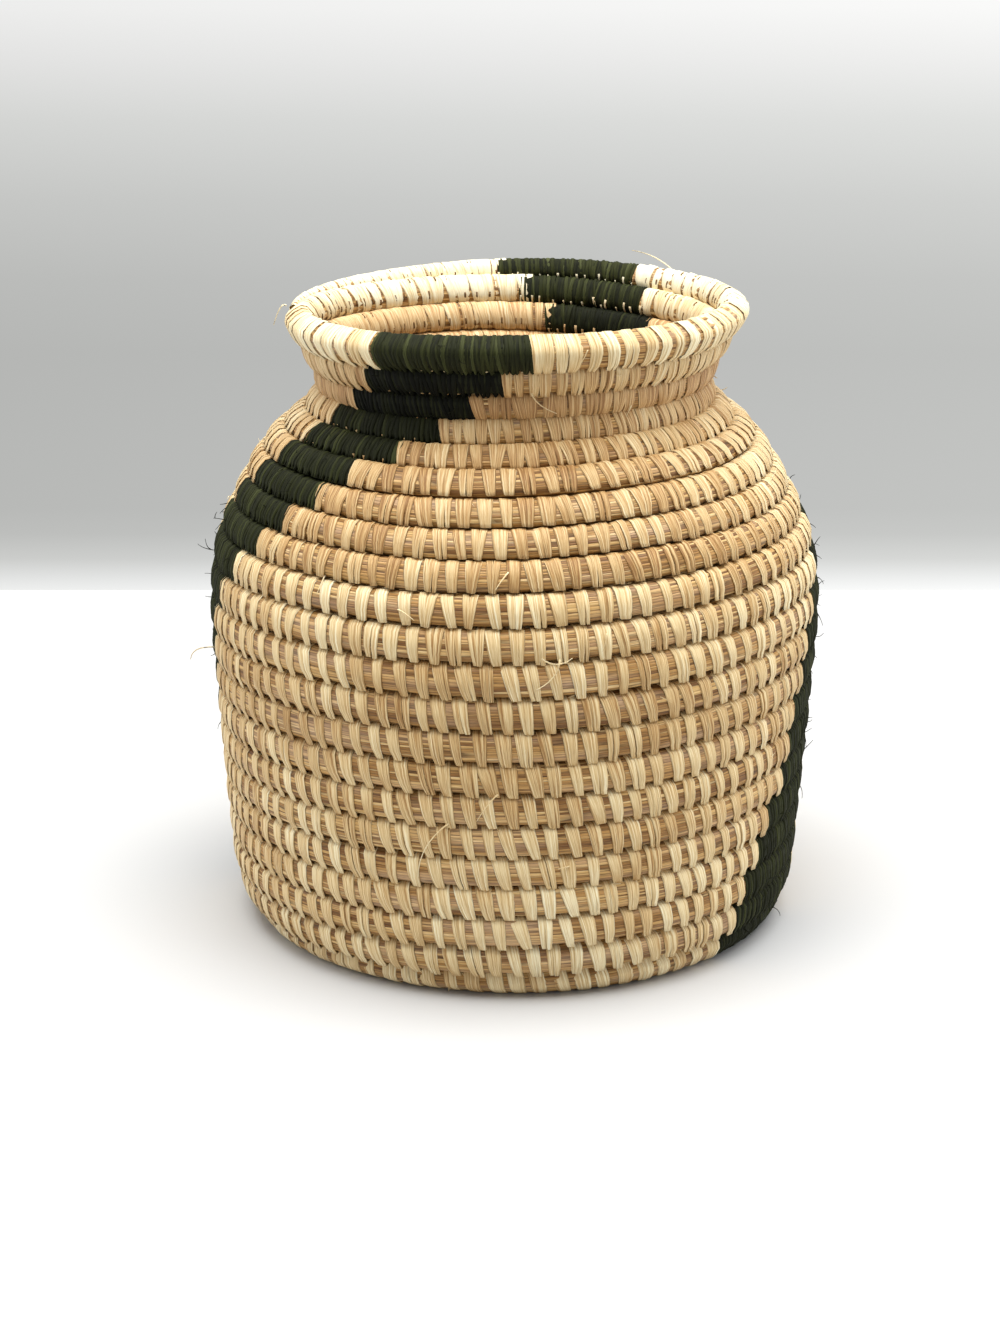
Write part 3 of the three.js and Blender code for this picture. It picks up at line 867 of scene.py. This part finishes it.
designs = [
    [tick(0, 0.9, 1.0, 0.06, 0.14), tick(0, 0.8, 1.0, 0.87, 0.92)],
    [tick(0, 1.1, 2.0, 0.06, 0.17), tick(0.6, 0.7, 1.0, 0.88, 0.92)],
    [tick(0, 0.7, 1.5, 0.05, 0.11)],
]
tick_runs = [(first, last, TICK_SPACING, TICK_WIDTH) for first, last, _, row in dark_blocks if row >= FIRST_NECK_ROW]
ticks = sew(
    "pale_ticks",
    tick_runs,
    back_wider=0,
    shapes=wrap_set("tick_shapes", designs),
    shape_count=len(designs),
    shuffle=0.7 * MM,
    lean_spread=0.2,
    least_width=0.7,
    most_width=1.3,
    size_spread=0.0,
    seed=600,
    finish=raffia,
)
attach(ticks, "root")

# Painted gap shade.
# On the inside of the neck the stitches lie close, and the straw between them lies in deep shade. That shade is
# painted:
# short dark brown marks stand in the gaps.
GAP_SPACING = 4.8
GAP_WIDTH = 0.7
# Painted shade for the straw in the gaps: a matt dark brown without any stalks to be seen.
shaded, tree, surface = new_material("shaded_straw")
surface.inputs["Base Color"].default_value = linear("#65461f")
surface.inputs["Roughness"].default_value = 0.9
designs = [
    [tick(0, 0.8, 1.0, 0.14, 0.2)],
    [tick(0, 0.6, 2.0, 0.13, 0.21)],
    [tick(0, 1.0, 0.0, 0.12, 0.17)],
    [tick(0, 0.6, 1.0, 0.32, 0.37)],
]
gap_runs = [(first, last, GAP_SPACING, GAP_WIDTH) for first, last, *_ in natural_stretches if first >= FIRST_NECK_ROW]
painted_gap_shade_pieces = sew(
    "stitch_gaps",
    gap_runs,
    back_wider=0,
    shapes=wrap_set("gap_shapes", designs),
    shape_count=len(designs),
    shuffle=0.9 * MM,
    lean_spread=0.1,
    least_width=0.6,
    most_width=1.3,
    size_spread=0.0,
    seed=700,
    finish=shaded,
)
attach(painted_gap_shade_pieces, "root")

# Loose fibres and hairs.
# Thin split-off fibres stand off the stitches, and short dyed hairs off the dark blocks. Each is a bowed hair that
# thins towards its tip.
FIBRE_THICKNESS = 0.6
FIBRE_THINNING = (0.5, 1)
FIBRE_LENGTH = (2, 7)
FIBRES_PER_TURN = 3
FIBRES_PER_RUN = 0.3
FIBRE_PALENESS = 0.45
HAIR_THICKNESS = 0.36
HAIR_LENGTH = (1.5, 5)
LONG_HAIR_LENGTH = (5, 8)
SHORT_HAIR_SHARE = 0.8
HAIRS_PER_BLOCK = 4
BOW_POINTS = 9
BOW_SIDES = 3
BOW_TAPER = 0.55
BOW_UV_SIDE = 0.3
# How far the coil's skin stands off its centre line.
HALF_COIL = 5.2
# Each seen fibre passes three places: degrees from the front, mm above the floor and mm off the wall.
SEEN_FIBRES = (
    ((4.5, 190.3, 0.5), (6.6, 186.7, 1.4), (11.1, 183.6, 1.8)),
    ((4.7, 116.3, 0.5), (7.2, 114.8, 1.9), (10, 116.1, 0.5)),
    ((7.9, 115.9, 0.5), (6.5, 110.4, 1.4), (3.3, 106.2, 0.5)),
    ((-1, 141.3, 0.4), (-2.4, 138.7, 1.2), (-3.3, 136.3, 0.6)),
    ((16.2, 122.9, 0.4), (15.8, 120.3, 1), (15.3, 117.5, 0.6)),
    ((-2.8, 72.4, 0.4), (-4.5, 69.2, 1.3), (-6.6, 63.3, 0.6)),
    ((-11.6, 62.1, 0.4), (-15.8, 53.5, 1.6), (-17.6, 43, 0.6)),
    ((-79, 94.2, -0.5), (-79, 93.7, 5.3), (-79, 90.4, 7.6)),
    ((-70, 209, -3), (-70, 208.5, -1), (-70, 203.1, 5.1)),
    ((132, 206, -4.5), (140, 209.5, -4.5), (147, 211, -5)),
)
SEEN_HAIRS = (
    ((-78, 137.5, 0), (-78, 138.1, 2.3), (-78, 138.4, 4.4)),
    ((-78, 138.3, 3.8), (-78, 139.4, 4.2), (-78, 140.4, 4.1)),
    ((-79, 127.2, 0.5), (-79, 128.2, 3.9), (-79, 129.6, 6.2)),
    ((-79, 127.6, 1.5), (-79, 128.7, 2.9), (-79, 131.2, 4.2)),
    ((79, 98.3, -1.2), (79, 97.9, 0.8), (79, 99.2, 2.4)),
    ((79, 68.6, -2.3), (79, 68.3, 0.2), (79, 69.2, 1.2)),
    ((79, 58.2, -0.7), (79, 60.6, 1.2), (79, 62, 2.2)),
)


def hair(line, thickness):
    """A thin tapered hair along a line: closed rings and UVs."""
    run = np.gradient(line, axis=0)
    run /= np.linalg.norm(run, axis=1, keepdims=True)
    side = np.cross(run, line[0] * (1, 1, 0))
    side /= np.linalg.norm(side, axis=1, keepdims=True)
    lift = np.cross(side, run)
    share = np.linspace(0, 1, len(line))[:, None]
    angle = 2 * math.pi * np.arange(BOW_SIDES) / BOW_SIDES
    size = thickness / 2 * (1 - BOW_TAPER * share)
    rings = line[:, None] + size[..., None] * (
        np.cos(angle)[None, :, None] * side[:, None] + np.sin(angle)[None, :, None] * lift[:, None]
    )
    length = np.linalg.norm(line[-1] - line[0])
    return rings, np.stack(np.broadcast_arrays(np.arange(BOW_SIDES + 1)[None] * BOW_UV_SIDE, share * length), -1)


def seen_hair(places, thickness):
    """A hair that bows through three places on or off the wall."""
    degrees, height, off = np.array(places, float).T
    radius = np.interp(height, wall_profile[:, 1], wall_profile[:, 0]) + HALF_COIL + off
    azimuth = np.radians(degrees)
    start, middle, end = np.stack([radius * np.sin(azimuth), -radius * np.cos(azimuth), height], -1)
    share = np.linspace(0, 1, BOW_POINTS)[:, None]
    line = start * (1 - share) * (1 - 2 * share) + middle * 4 * share * (1 - share) + end * share * (2 * share - 1)
    return hair(line, thickness)


def bow(turn, place, length, thickness, heading, curl):
    """A bowed hair that starts on the coil's skin. Heading and curl run along the coil, outwards and up the wall."""
    centre, out, up, half = (value[0] for value in coil_at([turn]))
    azimuth = 2 * math.pi * turn
    axes = np.array([(math.cos(azimuth), math.sin(azimuth), 0), out, up])
    across, onward = section_round(math.radians(place))
    start = centre + half * (across * out * DEPTH_SHARE + onward * up)
    share = np.linspace(0, 1, BOW_POINTS)[:, None]
    line = start + length * (share * (np.array(heading) @ axes) + share**2 * (np.array(curl) @ axes))
    line[:, 2] = np.maximum(line[:, 2], thickness)
    return hair(line, thickness)


def loose_turn():
    """A random short bow's place round the section in degrees, its heading and its curl."""
    heading = (give_or_take(1), draw.uniform(0.2, 0.8), give_or_take(0.8))
    curl = (give_or_take(0.3), draw.uniform(-0.3, 0.1), draw.uniform(-0.5, 0.2))
    return draw.uniform(-70, 80), heading, curl


bows = [seen_hair(places, FIBRE_THICKNESS) for places in SEEN_FIBRES]
for first, last, *_ in natural_stretches:
    for _ in range(round(FIBRES_PER_TURN * (last - first) + FIBRES_PER_RUN)):
        place, heading, curl = loose_turn()
        length = draw.uniform(*FIBRE_LENGTH)
        thickness = FIBRE_THICKNESS * draw.uniform(*FIBRE_THINNING)
        bows.append(bow(draw.uniform(first, last), place, length, thickness, heading, curl))
loose = show("loose_raffia_fibres", skin("loose_raffia_fibres", bows))
loose.data.materials.append(raffia)
paleness = np.full(len(loose.data.vertices), FIBRE_PALENESS)
loose.data.attributes.new("pale", "FLOAT", "POINT").data.foreach_set("value", paleness)
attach(loose, "root")

bows = [seen_hair(places, HAIR_THICKNESS) for places in SEEN_HAIRS]
for first, last, *_ in dark_blocks:
    for _ in range(HAIRS_PER_BLOCK):
        place, heading, curl = loose_turn()
        length = draw.uniform(*(HAIR_LENGTH if draw.random() < SHORT_HAIR_SHARE else LONG_HAIR_LENGTH))
        bows.append(bow(draw.uniform(first, last), place, length, HAIR_THICKNESS, heading, curl))
hairs = show("dark_raffia_hairs", skin("dark_raffia_hairs", bows))
hairs.data.materials.append(dyed)
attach(hairs, "root")

# Room, light and camera.
# The basket stands on a white sweep under one large soft light, and the paper behind it falls off to grey, painted as a
# glow. The room is in metres. The camera is in mm and degrees, and its shift in frames.
FLOOR_HALF = 3.0
WALL_DISTANCE = 0.367
WALL_TOP = 1.2
GREY_HEIGHT = 0.3
PAINTED_BRIGHTENING_PER_METRE = 0.28
WORLD_LIGHT = 0.42
CAMERA_DISTANCE = 958.3
CAMERA_HEIGHT = 390.1
CAMERA_DOWN = 17.86
CAMERA_LENS = 80.94
CAMERA_SHIFT = -0.0105

# Matt white paper: pale, with soft shadows and no shine.
paper, tree, surface = new_material("matt_white_paper")
surface.inputs["Base Color"].default_value = linear("#c5c5c4")
surface.inputs["Roughness"].default_value = 0.9
floor_mesh = bpy.data.meshes.new("floor")
floor_mesh.from_pydata(
    [
        (-FLOOR_HALF, -FLOOR_HALF, 0),
        (FLOOR_HALF, -FLOOR_HALF, 0),
        (FLOOR_HALF, WALL_DISTANCE, 0),
        (-FLOOR_HALF, WALL_DISTANCE, 0),
    ],
    [],
    [(0, 1, 2, 3)],
)
floor = show("floor", floor_mesh)
floor.data.materials.append(paper)

# Backdrop: it glows by itself, white at the floor, grey above and brighter to the right, so that no shadow falls on it.
# The glow and its falloff are painted light in place of the soft light on the paper. It is one-sided, so a camera
# behind it sees the basket.
backdrop_painted_glow, tree, _ = new_material("grey_backdrop")
wall_place = add_node(tree, "ShaderNodeTexCoord").outputs["Object"]
wall_sides = add_node(tree, "ShaderNodeSeparateXYZ", {0: wall_place}).outputs
height = add_node(tree, "ShaderNodeMapRange", {0: wall_sides[2], 1: 0.0, 2: GREY_HEIGHT}).outputs[0]
backdrop_colour = colour_steps(
    tree,
    height,
    (
        (0.0, "#f6f7f6"), (0.02, "#e9eae9"), (0.05, "#d2d3d1"), (0.09, "#c3c4c2"), (0.13, "#bebfbd"),
        (0.37, "#bbbcba"), (0.48, "#c0c1bf"), (0.6, "#cbccca"), (0.717, "#dadbd9"), (0.803, "#e9e9e8"),
        (0.88, "#f4f4f3"),
    ),
)
# Painted light: the glow grows brighter to the right.
painted_brightening_right = add_node(
    tree, "ShaderNodeMath", {0: wall_sides[0], 1: PAINTED_BRIGHTENING_PER_METRE, 2: 1.0}, operation="MULTIPLY_ADD"
).outputs[0]
glow = add_node(tree, "ShaderNodeEmission", {"Color": backdrop_colour, "Strength": painted_brightening_right}).outputs[0]
seen_through = add_node(tree, "ShaderNodeBsdfTransparent").outputs[0]
from_behind = add_node(tree, "ShaderNodeNewGeometry").outputs["Backfacing"]
one_sided = add_node(tree, "ShaderNodeMixShader", {0: from_behind, 1: glow, 2: seen_through}).outputs[0]
tree.links.new(one_sided, tree.nodes["Material Output"].inputs["Surface"])
wall_mesh = bpy.data.meshes.new("backdrop")
wall_mesh.from_pydata(
    [
        (-FLOOR_HALF, WALL_DISTANCE, 0),
        (FLOOR_HALF, WALL_DISTANCE, 0),
        (FLOOR_HALF, WALL_DISTANCE, WALL_TOP),
        (-FLOOR_HALF, WALL_DISTANCE, WALL_TOP),
    ],
    [],
    [(0, 1, 2, 3)],
)
backdrop = show("backdrop", wall_mesh)
backdrop.data.materials.append(backdrop_painted_glow)

# Each light's watts, width, depth and place, and its tilt in degrees.
for name, energy, width, depth, place, tilt in (
    ("softbox", 37.5, 1.5, 1.2, (0.04, -0.12, 1.3), 0),
    ("left_fill", 2.4, 0.8, 0.6, (-0.9, 0.05, 0.35), -90),
    ("right_fill", 2.6, 0.8, 0.6, (0.9, 0.05, 0.35), 90),
):
    lamp = bpy.data.lights.new(name, "AREA")
    lamp.shape = "RECTANGLE"
    lamp.size = width
    lamp.size_y = depth
    lamp.energy = energy
    stand = bpy.data.objects.new(name, lamp)
    stand.location = place
    stand.rotation_euler = (0, math.radians(tilt), 0)
    bpy.context.scene.collection.objects.link(stand)

world = bpy.data.worlds.new("white_room")
bpy.context.scene.world = world
world.use_nodes = True
world.node_tree.nodes["Background"].inputs["Color"].default_value = linear("#ffffff")
world.node_tree.nodes["Background"].inputs["Strength"].default_value = WORLD_LIGHT
bpy.context.scene.view_settings.view_transform = "Standard"

camera = bpy.data.cameras.new("camera")
camera.lens = CAMERA_LENS
camera.shift_x = CAMERA_SHIFT
camera_stand = bpy.data.objects.new("camera", camera)
camera_stand.location = Vector((0, -CAMERA_DISTANCE, CAMERA_HEIGHT)) * MM
camera_stand.rotation_euler = (math.radians(90 - CAMERA_DOWN), 0, 0)
bpy.context.scene.collection.objects.link(camera_stand)
bpy.context.scene.camera = camera_stand
